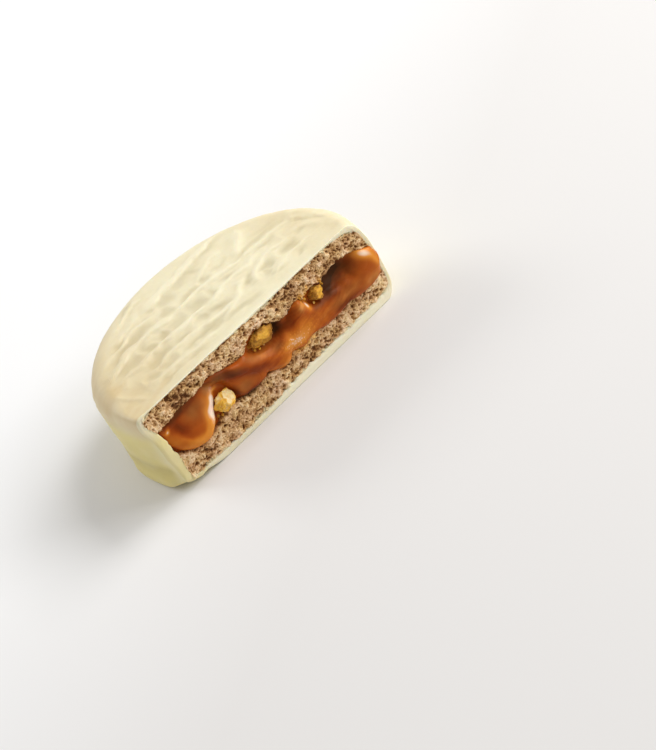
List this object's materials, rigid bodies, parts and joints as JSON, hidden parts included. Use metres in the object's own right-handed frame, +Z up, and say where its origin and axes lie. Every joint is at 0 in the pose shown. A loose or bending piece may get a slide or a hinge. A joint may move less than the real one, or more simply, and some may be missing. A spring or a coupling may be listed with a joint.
{
  "type": "alfajor cookie",
  "caption": "Coated sandwich cookie cut straight across, showing cocoa biscuit layers, a caramel filling and walnut pieces.",
  "frame": {"origin": "middle of the flat base, at the height of the surface it lies on", "axes": "+X along the cut, +Z up, the cut face looks towards -Y"},
  "size_m": [0.0676, 0.0428, 0.0213],
  "materials": {
    "coating": "set cream-coloured couverture, satin, low drip ridges",
    "biscuit": "dry open cocoa crumb",
    "caramel": "glossy soft milk caramel",
    "walnut": "candied nut, slightly shiny"
  },
  "bodies": {
    "root": {"coating": "coating", "upper_biscuit": "biscuit", "lower_biscuit": "biscuit", "filling": "caramel", "walnut_1": "walnut", "walnut_2": "walnut", "walnut_3": "walnut"}
  },
  "joints": []
}
